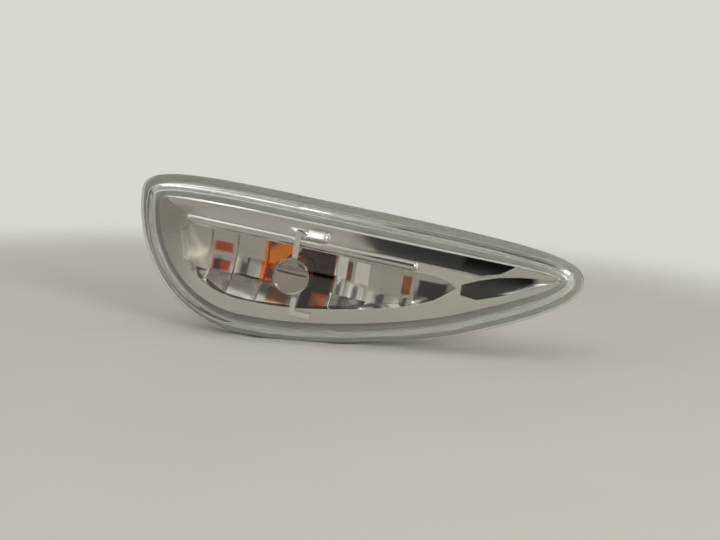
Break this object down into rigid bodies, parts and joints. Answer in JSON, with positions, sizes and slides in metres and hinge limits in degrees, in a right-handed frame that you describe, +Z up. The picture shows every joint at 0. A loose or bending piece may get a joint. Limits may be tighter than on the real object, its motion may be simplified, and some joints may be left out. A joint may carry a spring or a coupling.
{
  "type": "side repeater lamp",
  "caption": "Teardrop side turn-signal repeater lamp with a clear stepped lens, faceted chrome reflector, amber wedge bulb and twist-lock bulb holder.",
  "frame": {"origin": "where the bulb's axis meets the vehicle panel's outer face, on which the foam seal sits", "axes": "+X along the lamp's straight top edge towards the pointed end, +Y into the vehicle along the bulb, +Z up"},
  "size_m": [0.139, 0.0473, 0.0473],
  "materials": {
    "clear_lens": "clear moulded acrylic, polished",
    "sealant": "matte hot-melt bead",
    "mirror_coating": "vacuum-metallised plastic",
    "housing_plastic": "moulded, fine grain",
    "foam_seal": "closed-cell foam",
    "spring_steel": "rolled strip",
    "amber_glass": "amber lacquered glass",
    "tungsten": "drawn wire",
    "lead_wire": "drawn wire",
    "holder_plastic": "moulded, fine grain",
    "ring_rubber": "moulded rubber",
    "contact_brass": "stamped sheet"
  },
  "bodies": {
    "lamp_body": {"lens": "clear_lens", "lens_sealant": "sealant", "reflector": "mirror_coating", "bulb_shield": "mirror_coating", "housing": "housing_plastic", "panel_seal": "foam_seal", "spring_clip": "spring_steel"},
    "bulb_unit": {"bulb_glass": "amber_glass", "filament": "tungsten", "lead_wire_left": "lead_wire", "lead_wire_right": "lead_wire", "bulb_holder": "holder_plastic", "holder_seal": "ring_rubber", "contact_left": "contact_brass", "contact_right": "contact_brass"}
  },
  "joints": [
    {"name": "holder_twist", "type": "hinge", "parent": "lamp_body", "child": "bulb_unit", "pos_m": [0, 0.018, 0], "axis": [0, 1, 0], "range_deg": [0, 45]}
  ]
}
